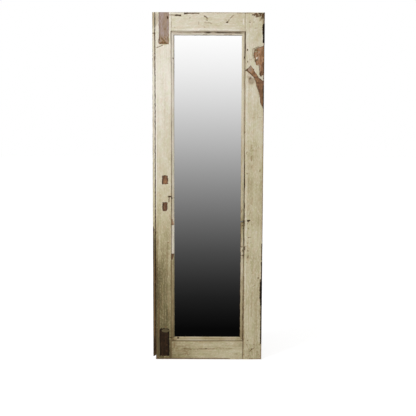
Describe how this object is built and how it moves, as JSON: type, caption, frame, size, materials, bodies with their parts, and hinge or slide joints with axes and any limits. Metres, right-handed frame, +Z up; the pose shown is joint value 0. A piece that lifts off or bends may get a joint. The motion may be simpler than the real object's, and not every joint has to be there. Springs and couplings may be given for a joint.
{
  "type": "shutter mirror",
  "caption": "Tall narrow mirror in an old painted shutter leaf, with mitred glazing beads, framed joints and two swinging rings on its back to hang it by.",
  "frame": {"origin": "midway between the two hanging points, in the plane of the wall", "axes": "+X to the right seen from the front, +Y into the wall, +Z up"},
  "size_m": [0.565, 0.044, 1.78],
  "materials": {
    "old_paint": "old crackled cream oil paint on wood, worn to the wood at edges",
    "bead_paint": "old cream paint on wood, dirty in the quirks",
    "patch_paint": "newer off-white paint on wood",
    "bare_wood": "bare softwood",
    "end_grain": "old hardwood, end grain",
    "mirror": "silvered flat glass",
    "backing_film": "grey mirror backing film",
    "hardboard": "brown hardboard, smooth face",
    "zinc_steel": "bright zinc plated steel",
    "rusty_iron": "dark rusted wrought iron",
    "black_rubber": "matt black rubber"
  },
  "bodies": {
    "leaf": {"lock_stile": "old_paint", "hinge_stile": "old_paint", "top_rail": "old_paint", "bottom_rail": "old_paint", "meeting_strip": "old_paint", "strip_nails": "rusty_iron", "joint_pegs": "old_paint", "tenon_wedges": "end_grain", "bead_top": "bead_paint", "bead_bottom": "bead_paint", "bead_left_upper": "bead_paint", "bead_left_patch": "patch_paint", "bead_left_lower": "bead_paint", "bead_right_upper": "bead_paint", "bead_right_patch": "bead_paint", "bead_right_short": "bead_paint", "bead_right_lower": "bead_paint", "bead_pins": "rusty_iron", "mirror_glass": "mirror", "mirror_backing": "backing_film", "setting_blocks": "black_rubber", "packing_left": "bare_wood", "packing_right": "bare_wood", "packing_top": "bare_wood", "packing_bottom": "bare_wood", "packing_nails": "rusty_iron", "back_board": "hardboard", "back_board_screws": "zinc_steel", "upper_hinge_leaf": "rusty_iron", "lower_hinge_leaf": "rusty_iron", "hinge_leaf_screws": "rusty_iron", "hanger_strap_left": "zinc_steel", "hanger_strap_right": "zinc_steel", "hanger_screws": "zinc_steel", "wall_bumpers": "black_rubber"},
    "ring_left": {"hanger_ring_left": "zinc_steel"},
    "ring_right": {"hanger_ring_right": "zinc_steel"}
  },
  "joints": [
    {"name": "ring_left_swing", "type": "hinge", "parent": "leaf", "child": "ring_left", "pos_m": [-0.2385, -0.0052, -0.02], "axis": [1, 0, 0], "range_deg": [0, 180]},
    {"name": "ring_right_swing", "type": "hinge", "parent": "leaf", "child": "ring_right", "pos_m": [0.2385, -0.0052, -0.02], "axis": [1, 0, 0], "range_deg": [0, 180]}
  ]
}
